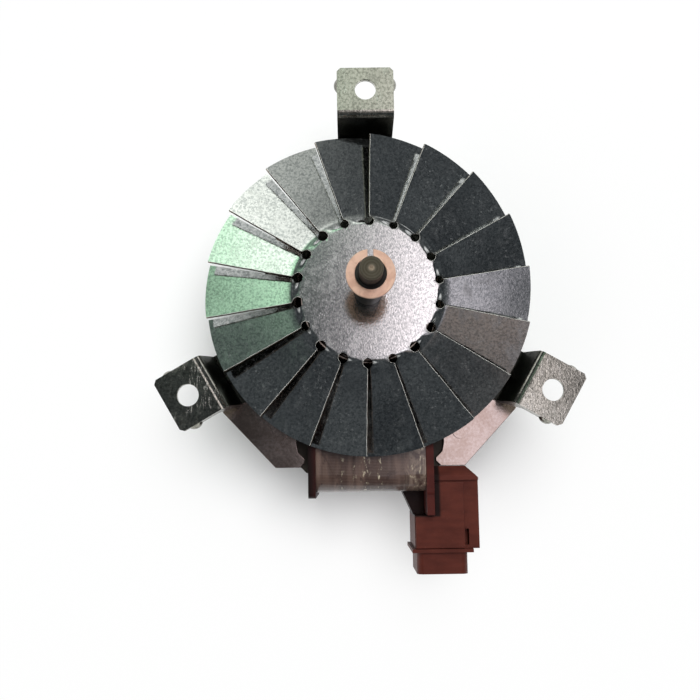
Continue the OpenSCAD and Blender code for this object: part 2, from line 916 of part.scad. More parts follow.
blade_rim = concat(
    [for (i = [0 : blade_columns]) i],
    [for (j = [1 : blade_last]) j * blade_stride + blade_columns],
    [for (i = [blade_columns - 1 : -1 : 0]) blade_last * blade_stride + i],
    [for (j = [blade_last - 1 : -1 : 1]) j * blade_stride]);
blade_edge = [for (k = [0 : len(blade_rim) - 1])
    let(a = blade_rim[k], b = blade_rim[(k + 1) % len(blade_rim)])
    each [[a, b, b + blade_size], [a, b + blade_size, a + blade_size]]];
blade_faces = concat(
    blade_skin,
    [for (f = blade_skin) [for (v = reversed(f)) v + blade_size]],
    blade_edge);

module cooling_fan() {
    color([0.66, 0.69, 0.68]) {
        translate([0, 0, hub_back])
            difference() {
                cylinder(r = hub_r, h = fan_t);
                translate([0, 0, -1])
                    cylinder(d = shaft_d + 2 * press, h = fan_t + 2);
            }
        for (i = [0 : blade_count - 1])
            rotate([0, 0, 90 + fan_phase + i * blade_angle])
                polyhedron(concat(blade_top, blade_under), blade_faces);
    }
}

mounting_spider();
spider_rivets();
front_bracket();
rear_bracket();
bracket_rivets();
lamination_stack();
core_limb();
shading_rings();
coil_bobbin();
coil_winding();
coil_tape();
connector_housing();
connector_cover();
terminals();
front_bearing();
rear_bearing();
front_felt();
rear_felt();
front_retainer();
rear_retainer();
shaft();
rotor_core();
rotor_cage();
cooling_fan();
fan_bush();
split_ring();
front_washer();
rear_washer();
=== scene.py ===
import math
import random

import bmesh
import bpy
from mathutils import Matrix, Vector, noise


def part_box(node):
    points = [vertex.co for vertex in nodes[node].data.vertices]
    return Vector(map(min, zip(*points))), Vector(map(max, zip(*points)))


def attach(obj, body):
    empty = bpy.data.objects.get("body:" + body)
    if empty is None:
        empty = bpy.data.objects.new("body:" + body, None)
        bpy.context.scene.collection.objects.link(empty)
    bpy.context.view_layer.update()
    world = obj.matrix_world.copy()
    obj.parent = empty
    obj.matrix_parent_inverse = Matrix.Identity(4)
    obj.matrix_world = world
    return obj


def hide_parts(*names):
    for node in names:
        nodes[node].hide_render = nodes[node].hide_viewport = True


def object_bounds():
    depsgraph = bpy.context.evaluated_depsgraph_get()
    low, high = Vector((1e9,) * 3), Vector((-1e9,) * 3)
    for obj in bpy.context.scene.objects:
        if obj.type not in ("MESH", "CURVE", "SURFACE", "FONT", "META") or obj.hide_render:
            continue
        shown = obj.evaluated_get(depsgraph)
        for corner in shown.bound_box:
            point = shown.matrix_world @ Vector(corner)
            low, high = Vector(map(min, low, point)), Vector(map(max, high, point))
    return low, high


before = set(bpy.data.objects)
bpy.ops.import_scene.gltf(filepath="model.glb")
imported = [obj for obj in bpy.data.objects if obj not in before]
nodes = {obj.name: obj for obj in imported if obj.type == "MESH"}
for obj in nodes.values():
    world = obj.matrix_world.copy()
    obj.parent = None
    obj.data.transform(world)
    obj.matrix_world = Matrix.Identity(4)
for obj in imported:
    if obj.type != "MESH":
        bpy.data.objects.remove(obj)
cad_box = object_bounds()

# The camera stands in front of the shaft end, a little below and to the left of it, and looks back along
# the shaft. Its place comes from the blade tips, the fixing holes and the shaft end in the photograph.
MM = 0.001
EYE = Vector((-6.49, -44.24, 229.75)) * MM
ROLL = math.radians(0.87)
TILT = math.radians(-6.79)
SWING = math.radians(0.27)
camera_data = bpy.data.cameras.new("camera")
camera_data.sensor_width = 36
camera_data.lens = 43.85
camera_data.clip_start = 0.01
camera_data.clip_end = 20
camera = bpy.data.objects.new("camera", camera_data)
bpy.context.scene.collection.objects.link(camera)
bpy.context.scene.camera = camera
aim = Matrix.Rotation(ROLL, 4, "Z") @ Matrix.Rotation(TILT, 4, "X") @ Matrix.Rotation(SWING, 4, "Y")
camera.matrix_world = Matrix.Translation(EYE) @ aim.transposed()
bpy.context.scene.view_settings.view_transform = "Standard"


# The room round the motor. Bright sheet zinc shows little but what it mirrors, so the room is drawn by
# direction: dim walls, a broad window of mint and warm white above, and pink, lilac and white patches to the
# right. The camera itself sees plain white there.
class Shade:
    """One socket of a node tree. Python's own + - * / on it add Math nodes."""

    def __init__(self, tree, socket):
        self.tree = tree
        self.socket = socket

    def math(self, operation, *others):
        return build(self.tree, "ShaderNodeMath", {"operation": operation}, [self, *others])

    def __add__(self, other):
        return self.math("ADD", other)

    def __sub__(self, other):
        return self.math("SUBTRACT", other)

    def __mul__(self, other):
        return self.math("MULTIPLY", other)

    def __truediv__(self, other):
        return self.math("DIVIDE", other)

    __radd__ = __add__
    __rmul__ = __mul__

    def __rsub__(self, other):
        return build(self.tree, "ShaderNodeMath", {"operation": "SUBTRACT"}, [other, self])

    def ramp(self, low, high):
        """0 below low, 1 above high, smooth between."""
        sockets = {"Value": self, "From Min": low, "From Max": high}
        return build(self.tree, "ShaderNodeMapRange", {"interpolation_type": "SMOOTHSTEP"}, sockets)

    def lines(self, step):
        """Rises from 0 to 1 and falls back to 0, once in every step."""
        return (self / step).math("FRACT").math("PINGPONG", 0.5) * 2


def build(tree, kind, settings, sockets, output=0):
    """Adds one node: its settings first, then the value or link of each socket."""
    node = tree.nodes.new(kind)
    for name, value in settings.items():
        setattr(node, name, value)
    for name, value in sockets.items() if isinstance(sockets, dict) else enumerate(sockets):
        if isinstance(value, Shade):
            tree.links.new(value.socket, node.inputs[name])
        else:
            node.inputs[name].default_value = value
    return Shade(tree, node.outputs[output])


def mixed(tree, under, over, share):
    """One colour over another. Each is three numbers or a link."""
    under = under if isinstance(under, Shade) else (*under, 1)
    over = over if isinstance(over, Shade) else (*over, 1)
    sockets = {"Factor": share, 6: under, 7: over}
    return build(tree, "ShaderNodeMix", {"data_type": "RGBA"}, sockets, 2)


def glow(x, y, width, height):
    """How much of one light is seen in a direction, falling off from its centre."""
    dx = (side_x - x) / width
    dy = (side_y - y) / height
    return ((dx * dx + dy * dy) * -0.5).math("EXPONENT")


DARK_WALL = (0.020, 0.023, 0.027)
PALE_WALL = (0.100, 0.110, 0.116)
LEAF_GREEN = (0.60, 0.88, 0.66)
MINT = (1.00, 1.62, 1.10)
WARM_WHITE = (1.52, 1.58, 1.48)
PALE_PINK = (2.10, 1.91, 2.00)
PALE_VIOLET = (2.1, 2.0, 2.15)
LILAC = (0.86, 0.82, 0.90)
DUSK = (0.28, 0.23, 0.21)
TABLE_WHITE = (0.92, 0.92, 0.92)
PLAIN_WHITE = (1, 1, 1)
world = bpy.data.worlds.new("room")
bpy.context.scene.world = world
world.use_nodes = True
sky = world.node_tree
direction = build(sky, "ShaderNodeTexCoord", {}, {}, "Generated")
side_x, side_y, upward = [build(sky, "ShaderNodeSeparateXYZ", {}, [direction], axis) for axis in "XYZ"]
cloudy = {"Vector": direction, "Scale": 11, "Detail": 6, "Roughness": 0.7}
things = build(sky, "ShaderNodeTexNoise", {}, cloudy, "Fac")
room = mixed(sky, DARK_WALL, PALE_WALL, things.ramp(0.36, 0.68))
room = mixed(sky, room, LEAF_GREEN, glow(-0.16, 0.43, 0.10, 0.11))
room = mixed(sky, room, LILAC, glow(0.21, -0.14, 0.05, 0.10) * 0.7)
window = mixed(sky, MINT, WARM_WHITE, side_x.ramp(-0.20, 0.02))
room = mixed(sky, room, window, glow(-0.03, 0.72, 0.20, 0.12))
room = mixed(sky, room, PALE_PINK, glow(0.128, 0.130, 0.063, 0.19))
room = mixed(sky, room, WARM_WHITE, glow(0.03, 0.41, 0.08, 0.08) * 0.45)
room = mixed(sky, room, PALE_VIOLET, glow(0.150, -0.03, 0.040, 0.06))
room = mixed(sky, room, LILAC, glow(0.275, -0.335, 0.045, 0.09))
room = mixed(sky, room, DUSK, glow(0.13, -0.40, 0.08, 0.06) * 0.9)
room = mixed(sky, room, TABLE_WHITE, 1 - upward.ramp(0.06, 0.30))
room = mixed(sky, room, PLAIN_WHITE, build(sky, "ShaderNodeLightPath", {}, {}, "Is Camera Ray"))
background = sky.nodes["Background"]
sky.links.new(room.socket, background.inputs["Color"])
background.inputs["Strength"].default_value = 1


def soft_lamp(name, place, size, watts):
    """A broad lamp aimed at the motor. The sheet metal doesn't mirror it, because the room above already
    holds what it mirrors."""
    light = bpy.data.lights.new(name, "AREA")
    light.shape = "DISK"
    light.size = size
    light.energy = watts
    lamp = bpy.data.objects.new(name, light)
    bpy.context.scene.collection.objects.link(lamp)
    lamp.location = place
    lamp.rotation_euler = (-Vector(place)).to_track_quat("-Z", "Y").to_euler()
    lamp.visible_glossy = False


soft_lamp("lamp_front", (0.15, 0.25, 0.9), 0.7, 9.0)
soft_lamp("lamp_side", (-0.8, -0.3, 0.5), 0.6, 2.5)

# A white table lies right under the tail of the shaft, where the motor's soft shadow falls. Further out the
# table's own glow, seen by the camera and in reflections alone, makes a clean white background.
TABLE_REACH = 4
SHADOW_R = 60 * MM
GLOW_R = 105 * MM
table_z = cad_box[0][2] - 1 * MM
corners = [(x * TABLE_REACH, y * TABLE_REACH, table_z) for x, y in ((-1, -1), (1, -1), (1, 1), (-1, 1))]
floor_mesh = bpy.data.meshes.new("floor")
floor_mesh.from_pydata(corners, [], [(0, 1, 2, 3)])
floor = bpy.data.objects.new("floor", floor_mesh)
bpy.context.scene.collection.objects.link(floor)
floor_material = bpy.data.materials.new("white_table")
floor_material.use_nodes = True
floor_tree = floor_material.node_tree
floor_shader = floor_tree.nodes["Principled BSDF"]
floor_shader.inputs["Base Color"].default_value = (0.90, 0.90, 0.90, 1)
floor_shader.inputs["Roughness"].default_value = 0.9
floor_shader.inputs["Specular IOR Level"].default_value = 0.1
floor_place = build(floor_tree, "ShaderNodeTexCoord", {}, {}, "Object")
reach = build(floor_tree, "ShaderNodeVectorMath", {"operation": "LENGTH"}, [floor_place], "Value")
by_camera, by_gloss, by_glass = [
    build(floor_tree, "ShaderNodeLightPath", {}, {}, ray)
    for ray in ("Is Camera Ray", "Is Glossy Ray", "Is Transmission Ray")
]
glow_share = (by_camera + by_gloss + by_glass).math("MINIMUM", 1) * (reach.ramp(SHADOW_R, GLOW_R) * 0.9)
table_top = Shade(floor_tree, floor_shader.outputs[0])
own_glow = build(floor_tree, "ShaderNodeEmission", {}, {})
both = build(floor_tree, "ShaderNodeMixShader", {}, [glow_share, table_top, own_glow])
floor_tree.links.new(both.socket, floor_tree.nodes["Material Output"].inputs["Surface"])
floor.data.materials.append(floor_material)

# The spider is pressed from zinc-coated sheet: one ring and three channel arms, each ending in a tab with a
# hole. Handling has scuffed the tabs. Below the tabs the walls and the inside of the channels are painted
# near black as painted shade, a little less towards the outside.
WELD_REACH = 0.002 * MM
SHARP = math.radians(35)


class Finish:
    """One material, with its own node tree and Principled shader."""

    def __init__(self, name, **fixed):
        self.material = bpy.data.materials.new(name)
        self.material.use_nodes = True
        self.tree = self.material.node_tree
        self.shader = self.tree.nodes["Principled BSDF"]
        for socket, value in fixed.items():
            self.shader.inputs[socket.replace("_", " ")].default_value = value
        self.place = self.node("ShaderNodeTexCoord", {}, {}, "Object")

    def node(self, kind, settings, sockets, output=0):
        return build(self.tree, kind, settings, sockets, output)

    def axis(self, letter):
        return self.node("ShaderNodeSeparateXYZ", {}, [self.place], letter)

    def stretched(self, x, y, z):
        """The place on the piece, with each axis scaled."""
        return self.node("ShaderNodeVectorMath", {"operation": "MULTIPLY"}, [self.place, (x, y, z)])

    def from_shaft(self):
        """How far a point lies from the shaft's axis, in metres."""
        return self.node("ShaderNodeVectorMath", {"operation": "LENGTH"}, [self.stretched(1, 1, 0)], "Value")

    def grain(self, scale, detail=4, rough=0.55, warp=0.0, stretch=(1, 1, 1)):
        """Cloudy noise, scale in patches to the metre."""
        sockets = {"Vector": self.stretched(*stretch), "Scale": scale, "Detail": detail, "Roughness": rough}
        sockets["Distortion"] = warp
        return self.node("ShaderNodeTexNoise", {}, sockets, "Fac")

    def mix(self, under, over, share):
        return mixed(self.tree, under, over, share)

    def bump(self, height, depth, strength=1.0):
        """Relief of that depth in metres where height goes from 0 to 1."""
        sockets = {"Height": height, "Distance": depth, "Strength": strength}
        return self.node("ShaderNodeBump", {}, sockets, "Normal")

    def feed(self, **sockets):
        for socket, value in sockets.items():
            self.tree.links.new(value.socket, self.shader.inputs[socket.replace("_", " ")])
        return self


def dress(name, finish, edge=0.0):
    """Gives a node of the frame its finish, and rounds its sharp edges by that radius in millimetres."""
    node = nodes[name]
    node.data.materials.clear()
    node.data.materials.append(finish.material)
    if edge:
        weld = node.modifiers.new("weld", "WELD")
        weld.merge_threshold = WELD_REACH
        bevel = node.modifiers.new("edges", "BEVEL")
        bevel.width = edge * MM
        bevel.segments = 2
        bevel.limit_method = "ANGLE"
        bevel.angle_limit = SHARP
        bevel.harden_normals = True


def zinc(finish, light, dark, grit):
    """Bright zinc with fine crystals, dark pits and a dull haze, grit in crystals to the metre. Gives its
    colour, roughness, relief and the share of it that is bare metal."""
    crystals = finish.grain(grit, detail=3, rough=0.65)
    pits = finish.grain(grit * 1.9, detail=2, rough=0.7)
    clouds = finish.grain(85, detail=5, warp=0.6)
    haze = finish.grain(230, detail=6, rough=0.65, warp=0.9, stretch=(1, 0.6, 1)).ramp(0.47, 0.72)
    colour = finish.mix(dark, light, crystals.ramp(0.34, 0.60))
    colour = finish.mix(colour, (0.08, 0.09, 0.085), pits.ramp(0.58, 0.70) * clouds.ramp(0.40, 0.62) * 0.8)
    colour = finish.mix(colour, light, haze * 0.5)
    rough = 0.06 + clouds * 0.06 + haze * 0.14
    film = finish.grain(290, detail=8, rough=0.8, warp=0.9, stretch=(1, 0.55, 1)).ramp(0.50, 0.74) * 0.05
    film = film + finish.grain(1250, detail=3, rough=0.7).ramp(0.57, 0.70) * clouds.ramp(0.36, 0.62) * 0.13
    relief = finish.grain(2200, detail=1, rough=0.5) + pits.ramp(0.55, 0.72) * 0.3
    return colour, rough, relief, 1 - film


WARM_ZINC = (0.60, 0.59, 0.52)
DULL_ZINC = (0.30, 0.30, 0.255)
SCUFF_WHITE = (0.96, 0.95, 0.88)
SMEAR_GREY = (0.11, 0.115, 0.095)
PAINTED_SHADE_BLACK = (0.016, 0.018, 0.015)
spider_zinc = Finish("spider_zinc")
spider_colour, spider_rough, spider_relief, spider_bare = zinc(spider_zinc, WARM_ZINC, DULL_ZINC, 1300)
scratches = spider_zinc.grain(330, detail=6, rough=0.8, warp=0.5, stretch=(3.6, 0.6, 1))
rubbed = spider_zinc.grain(90, detail=4, warp=1.0)
scuffs = scratches.ramp(0.52, 0.64) * rubbed.ramp(0.42, 0.60)
smears = spider_zinc.grain(150, detail=8, rough=0.8, warp=0.4, stretch=(1.3, 0.9, 1))
# Painted shade: everything below the tabs is darkened near black, less towards the outside.
below_tab = 1 - spider_zinc.axis("Z").ramp(-1.6 * MM, -0.3 * MM)
wall_shade = below_tab * (1 - spider_zinc.from_shaft().ramp(48.5 * MM, 51.0 * MM) * 0.55)
spider_colour = spider_zinc.mix(spider_colour, SCUFF_WHITE, scuffs * 0.75)
spider_colour = spider_zinc.mix(spider_colour, SMEAR_GREY, smears.ramp(0.50, 0.72) * 0.85)
spider_colour = spider_zinc.mix(spider_colour, PAINTED_SHADE_BLACK, wall_shade * 0.93)
spider_zinc.feed(
    Base_Color=spider_colour,
    Roughness=spider_rough + scuffs * 0.2 + wall_shade * 0.25,
    Metallic=spider_bare,
    Normal=spider_zinc.bump(spider_relief + scuffs * 0.3, 0.015 * MM),
)
dress("mounting_spider", spider_zinc, 0.12)

# Small zinc-plated steel rivets clench the ring of the spider to the front plate. They are set cold, and the
# round heads stay bright.
rivet_finish = Finish("rivet_steel", Metallic=1.0)
rivet_grain = rivet_finish.grain(900, detail=5)
rivet_finish.feed(
    Base_Color=rivet_finish.mix((0.38, 0.37, 0.34), (0.62, 0.61, 0.58), rivet_grain.ramp(0.35, 0.65)),
    Roughness=0.25 + rivet_grain * 0.3,
    Normal=rivet_finish.bump(rivet_grain, 0.04 * MM),
)
dress("spider_rivets", rivet_finish, 0.2)


# The front bracket is brown-tinted steel plate with the dish and the bearing cup drawn out of it. The rear
# one is plain sheet of the same thickness, cut narrower. Four rivets through the stack hold both, and have
# the front plate's tint.
def plate(name, light, dark, tint):
    finish = Finish(name, Metallic=1.0)
    clouds = finish.grain(90, detail=6, warp=0.8)
    speck = finish.grain(1300, detail=4)
    rolled = finish.grain(120, detail=4, stretch=(0.5, 14, 1))
    colour = finish.mix(dark, light, (clouds * 0.6 + speck * 0.4).ramp(0.35, 0.65))
    colour = finish.mix(colour, tint, clouds.ramp(0.55, 0.72) * 0.35)
    return finish.feed(
        Base_Color=colour,
        Roughness=0.10 + clouds * 0.08 + speck * 0.06,
        Normal=finish.bump(speck * 0.5 + rolled * 0.5, 0.02 * MM, 0.6),
    )


front_steel = plate("bracket_steel", (0.52, 0.44, 0.41), (0.33, 0.255, 0.22), (0.36, 0.22, 0.15))
rear_steel = plate("rear_steel", (0.52, 0.51, 0.48), (0.36, 0.35, 0.33), (0.40, 0.36, 0.30))
dress("front_bracket", front_steel, 0.15)
dress("bracket_rivets", front_steel, 0.25)
dress("rear_bracket", rear_steel, 0.15)

# The stack is made of stamped sheets half a millimetre thick, riveted together and browned by annealing. The
# coil's limb is a bar of the same sheets, driven between the two legs.
LAMINATION = 0.5 * MM
STEEL_EDGE_DARK = (0.135, 0.115, 0.10)
STEEL_EDGE_LIGHT = (0.26, 0.225, 0.20)
RUST_BROWN = (0.25, 0.11, 0.05)
SEAM_BLACK = (0.03, 0.025, 0.02)
core = Finish("laminations", Metallic=0.7)
seam = 1 - core.axis("Z").lines(LAMINATION).ramp(0.06, 0.28)
side_grain = core.grain(260, detail=5, stretch=(1, 1, 6))
rust = core.grain(60, detail=6, warp=0.7)
core_colour = core.mix(STEEL_EDGE_DARK, STEEL_EDGE_LIGHT, side_grain.ramp(0.35, 0.65))
core_colour = core.mix(core_colour, RUST_BROWN, rust.ramp(0.55, 0.72) * 0.5)
core_colour = core.mix(core_colour, SEAM_BLACK, seam * 0.8)
core.feed(
    Base_Color=core_colour,
    Roughness=0.42 + side_grain * 0.2,
    Normal=core.bump(1 - seam + side_grain * 0.4, 0.08 * MM),
)
dress("lamination_stack", core)
dress("core_limb", core)

# Each pole carries two bare copper loops, which shade a part of it and so start the motor. They are bent from
# thick wire and pressed round the pole's tip.
copper = Finish("copper_bar", Metallic=1.0)
tarnish = copper.grain(500, detail=5, warp=0.5)
copper.feed(
    Base_Color=copper.mix((0.46, 0.20, 0.11), (0.80, 0.46, 0.30), tarnish.ramp(0.35, 0.65)),
    Roughness=0.28 + tarnish * 0.25,
    Normal=copper.bump(tarnish, 0.05 * MM),
)
dress("shading_rings", copper, 0.2)


# The bobbin that carries the coil is moulded from red-brown plastic, satin, with a fine spark-eroded grain.
# Its left-hand flange is painted near black as shade.
def moulded(name, light, dark, grain_depth, shade_bounds):
    """Satin plastic, painted near black as shade to the left of one line and above another. Each line fades
    between two places in millimetres."""
    finish = Finish(name, Specular_IOR_Level=0.30)
    cloud = finish.grain(45, detail=4, warp=0.4)
    flow = finish.grain(160, detail=4, stretch=(1, 3, 1))
    spark = finish.grain(2600, detail=2)
    dust = finish.grain(700, detail=6, rough=0.75)
    left, right, foot, head = shade_bounds
    # Painted shade: a near-black patch inside the two lines.
    shade_patch = (1 - finish.axis("X").ramp(left * MM, right * MM)) * finish.axis("Y").ramp(foot * MM, head * MM)
    colour = finish.mix(dark, light, (cloud * 0.5 + flow * 0.5).ramp(0.35, 0.65))
    colour = finish.mix(colour, (0.15, 0.065, 0.05), dust.ramp(0.60, 0.72) * 0.35)
    colour = finish.mix(colour, (0.004, 0.002, 0.002), shade_patch * 0.94)
    return finish.feed(
        Base_Color=colour,
        Roughness=0.38 + spark * 0.12 + dust * 0.10,
        Normal=finish.bump(spark, grain_depth),
    )


BOBBIN_LIGHT = (0.066, 0.013, 0.010)
BOBBIN_DARK = (0.040, 0.008, 0.007)
# Painted shade over the left-hand flange.
bobbin_shade_bounds = (-17.4, -13, -200, -199)
bobbin_plastic = moulded("bobbin_plastic", BOBBIN_LIGHT, BOBBIN_DARK, 0.02 * MM, bobbin_shade_bounds)
dress("coil_bobbin", bobbin_plastic, 0.25)

# The winding is enamelled copper wire, wound turn beside turn on the bobbin. The tape covers it, so it shows
# only at its edges, by the flanges.
TURN = 0.22 * MM
wire = Finish("copper_wire", Metallic=0.9)
turns = wire.axis("X").lines(TURN)
wire_grain = wire.grain(350, detail=4)
wire.feed(
    Base_Color=wire.mix((0.24, 0.08, 0.04), (0.62, 0.30, 0.16), turns.ramp(0.1, 0.8)),
    Roughness=0.22 + wire_grain * 0.2,
    Normal=wire.bump(turns, 0.08 * MM),
)
dress("coil_winding", wire)

# Thin brown film tape is wrapped tightly round the wire. The turns and the air pockets under it show through
# as bands, hairlines and creases. Straw flecks on its lifted bands and a lighter tan patch at its right
# end are painted highlight, and its creases are painted darker as shade.
FILM_DARK = (0.042, 0.022, 0.018)
FILM_LIGHT = (0.125, 0.078, 0.062)
HAIRLINE_TAN = (0.20, 0.145, 0.115)
SHEEN_TAN = (0.24, 0.18, 0.14)
HIGHLIGHT_STRAW = (0.62, 0.55, 0.40)
CREASE_SHADE_BLACK = (0.022, 0.010, 0.009)
HAIRLINE_STEP = 0.42 * MM
tape = Finish("coil_tape", IOR=1.5, Coat_Weight=0.7, Coat_Roughness=0.10)
along_coil = tape.axis("X")
bands = tape.grain(230, detail=3, stretch=(1, 0.12, 0.12))
hairlines = tape.axis("Y").lines(HAIRLINE_STEP).ramp(0.55, 0.95)
crease = tape.grain(420, detail=5, warp=1.2, stretch=(1, 0.5, 0.5))
flecks = tape.grain(900, detail=3, rough=0.7, stretch=(1.4, 0.7, 0.7))


def stripe(x, width):
    """A band round the coil at x, where the film has lifted off the wire: raised relief with painted
    highlight flecks. Both are in millimetres.
    """
    off = (along_coil - x * MM) / (width * MM)
    return (off * off * -1).math("EXPONENT")


# The lifted bands and the crinkled patch carry painted highlight: straw flecks and lighter tan.
lifted_and_highlit = stripe(-1.5, 0.9) + stripe(2.4, 0.6) * 0.8 + stripe(-8.0, 0.5) * 0.45 + stripe(-4.6, 0.5) * 0.4
crinkled_sheen = along_coil.ramp(8.5 * MM, 12.5 * MM) * crease.ramp(0.40, 0.60)
highlight_flecks = flecks.ramp(0.56, 0.66) * (lifted_and_highlit + crinkled_sheen * 0.6) * 0.9
tape_colour = tape.mix(FILM_DARK, FILM_LIGHT, bands.ramp(0.38, 0.66))
tape_colour = tape.mix(tape_colour, HAIRLINE_TAN, hairlines * 0.28)
tape_colour = tape.mix(tape_colour, SHEEN_TAN, crinkled_sheen * 0.55)
tape_colour = tape.mix(tape_colour, HIGHLIGHT_STRAW, highlight_flecks)
# Painted shade: the film is darkened along its creases.
tape_colour = tape.mix(tape_colour, CREASE_SHADE_BLACK, crease.ramp(0.58, 0.66) * 0.55)
tape.feed(
    Base_Color=tape_colour,
    Roughness=0.22 + crease * 0.22,
    Normal=tape.bump(bands * 0.8 + crease * 0.9 + lifted_and_highlit * 0.5 + hairlines * 0.10, 0.3 * MM, 0.8),
)
dress("coil_tape", tape, 0.15)

# The housing beside the coil and its cover are moulded from red-brown plastic too, painted near black as
# shade in the corner by the coil. The housing takes the two winding ends to flat brass terminals, in a shroud
# for a plug.
HOUSING_LIGHT = (0.090, 0.021, 0.014)
HOUSING_DARK = (0.058, 0.013, 0.009)
# Painted shade in the corner under the coil's flange.
housing_shade_bounds = (19.0, 19.8, -63.2, -62.4)
housing_plastic = moulded("connector_plastic", HOUSING_LIGHT, HOUSING_DARK, 0.025 * MM, housing_shade_bounds)
dress("connector_housing", housing_plastic, 0.25)
dress("connector_cover", housing_plastic, 0.2)
brass = Finish("terminal_brass", Metallic=1.0)
brass_grain = brass.grain(600, detail=4, stretch=(1, 8, 1))
brass.feed(
    Base_Color=brass.mix((0.52, 0.40, 0.18), (0.82, 0.70, 0.40), brass_grain.ramp(0.35, 0.65)),
    Roughness=0.25 + brass_grain * 0.2,
    Normal=brass.bump(brass_grain, 0.02 * MM),
)
dress("terminals", brass, 0.15)

# Each cup holds a ball of oil-soaked sintered bronze with a bore for the shaft, a ring of felt that feeds it
# oil, and a retainer of bright spring steel that holds both in.
bronze = Finish("sintered_bronze", Metallic=0.85)
pores = bronze.node("ShaderNodeTexVoronoi", {}, {"Vector": bronze.place, "Scale": 2600}, "Distance")
bronze.feed(
    Base_Color=bronze.mix((0.16, 0.10, 0.05), (0.52, 0.36, 0.20), pores.ramp(0.05, 0.4)),
    Roughness=0.38 + pores * 0.3,
    Normal=bronze.bump(pores, 0.05 * MM),
)
felt = Finish("felt", Roughness=0.95)
fibres = felt.grain(900, detail=8, rough=0.8, warp=2.0)
felt.feed(
    Base_Color=felt.mix((0.26, 0.20, 0.12), (0.55, 0.47, 0.34), fibres),
    Normal=felt.bump(fibres, 0.3 * MM),
)
for end in ("front", "rear"):
    dress(end + "_bearing", bronze)
    dress(end + "_felt", felt)
    dress(end + "_retainer", rivet_finish, 0.1)

# The shaft is ground steel gone dark with oil and heat. Its turned-down end is dull olive brown, with fine
# lathe rings and a pale centre dimple.
LATHE_STEP = 0.7 * MM
END_DEPTH = 0.9 * MM
steel = Finish("shaft_steel")
from_axis = steel.from_shaft()
ground = steel.grain(700, detail=4, stretch=(0.3, 0.3, 9))
lathe_rings = from_axis.lines(LATHE_STEP)
stain = steel.grain(420, detail=5, warp=0.8)
end_face = (steel.axis("Z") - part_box("shaft")[1][2] + END_DEPTH).math("GREATER_THAN", 0)
dimple = 1 - from_axis.ramp(0.4 * MM, 1.1 * MM)
black_steel = steel.mix((0.030, 0.028, 0.027), (0.085, 0.080, 0.074), ground.ramp(0.3, 0.7))
olive = steel.mix((0.085, 0.075, 0.055), (0.20, 0.175, 0.13), lathe_rings * 0.5 + stain * 0.5)
olive = steel.mix(olive, (0.26, 0.205, 0.15), dimple * 0.9)
steel.feed(
    Base_Color=steel.mix(black_steel, olive, end_face),
    Metallic=0.9 - dimple * end_face * 0.9,
    Roughness=0.30 + stain * 0.2 + ground * 0.08,
    Normal=steel.bump(ground * 0.4 + lathe_rings * end_face * 0.6, 0.02 * MM),
)
dress("shaft", steel, 0.10)

# The rotor turns in the stack: a core of the same thin sheets, pressed on the shaft, with bars and end rings
# of aluminium cast into it.
dress("rotor_core", core)
cast = Finish("cage_aluminium", Metallic=1.0)
cast_grain = cast.grain(700, detail=6)
cast.feed(
    Base_Color=cast.mix((0.50, 0.50, 0.51), (0.74, 0.75, 0.76), cast_grain),
    Roughness=0.35 + cast_grain * 0.2,
    Normal=cast.bump(cast_grain, 0.08 * MM),
)
dress("rotor_cage", cast, 0.2)

# A washer of natural fibre runs against each bearing and takes the thrust. The steel bush behind the fan is
# turned, and pressed on the shaft.
fibre = Finish("washer_fibre", Roughness=0.7)
fibre_grain = fibre.grain(800, detail=7, rough=0.7)
fibre.feed(
    Base_Color=fibre.mix((0.40, 0.30, 0.15), (0.66, 0.55, 0.34), fibre_grain),
    Normal=fibre.bump(fibre_grain, 0.06 * MM),
)
dress("front_washer", fibre, 0.1)
dress("rear_washer", fibre, 0.1)
dress("fan_bush", rivet_finish, 0.15)

# The split ring is a narrow copper-plated ring with one slot. It is pinched on the shaft where the fan wheel
# will sit.
ring = Finish("ring_copper", Metallic=0.72)
ring_grain = ring.grain(420, detail=5, warp=0.4)
ring.feed(
    Base_Color=ring.mix((0.74, 0.45, 0.33), (0.95, 0.64, 0.49), ring_grain.ramp(0.35, 0.65)),
    Roughness=0.28 + ring_grain * 0.16,
    Normal=ring.bump(ring_grain, 0.03 * MM),
)
dress("split_ring", ring, 0.15)

# The cooling fan is one disc of the same zinc-coated sheet, slit from its rim to a ring of relief holes. Each
# blade is bent down along its root, so one cut edge stays level with the hub and the other drops behind the
# next blade. Its sizes are in millimetres.
FAN_R = 45.7
SHEET = 0.8
HUB_R = 18.7
RELIEF_R = 20.0
RELIEF_HOLE_R = 1.3
BORE_R = 4.01
BLADES = 18
SLIT = 0.07
PITCH = math.radians(16.5)
SLOPE = math.radians(2.6)
FIRST_EDGE = math.radians(88.5)
STRIDE = 2 * math.pi / BLADES
FACE_DROP = 0.05
BEND_FROM = 0.55
BEND_SHORT = 1.2
BEND_LONG = 3.8
BEND_FADE = 0.10
EDGE_WANDER = 0.10
DENT_DEPTH = 0.07
COLUMNS = 12
fan_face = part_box("cooling_fan")[1][2] / MM
random.seed(18)
holes = [
    (RELIEF_R + random.uniform(-0.1, 0.25), RELIEF_HOLE_R + random.uniform(-0.15, 0.2))
    for _ in range(BLADES)
]
bend_of = [1 + random.uniform(-0.05, 0.02) for _ in range(BLADES)]


def smooth(t):
    t = min(1, max(0, t))
    return t * t * (3 - 2 * t)


def half_gap(r, hole):
    """Half the width of the cut between two blades at r: the relief hole, then the slit."""
    place, size = holes[hole % BLADES]
    off = abs(r - place)
    return max(SLIT, math.sqrt(size**2 - off**2)) if off < size else SLIT


def blade_turn(r, share):
    """How far the sheet has turned down at r. The share across the blade is 0 at the raised edge, where the
    bend is drawn out longest."""
    bend = BEND_SHORT + BEND_LONG * math.exp(-share / BEND_FADE)
    return PITCH * smooth((r - HUB_R - BEND_FROM) / bend)


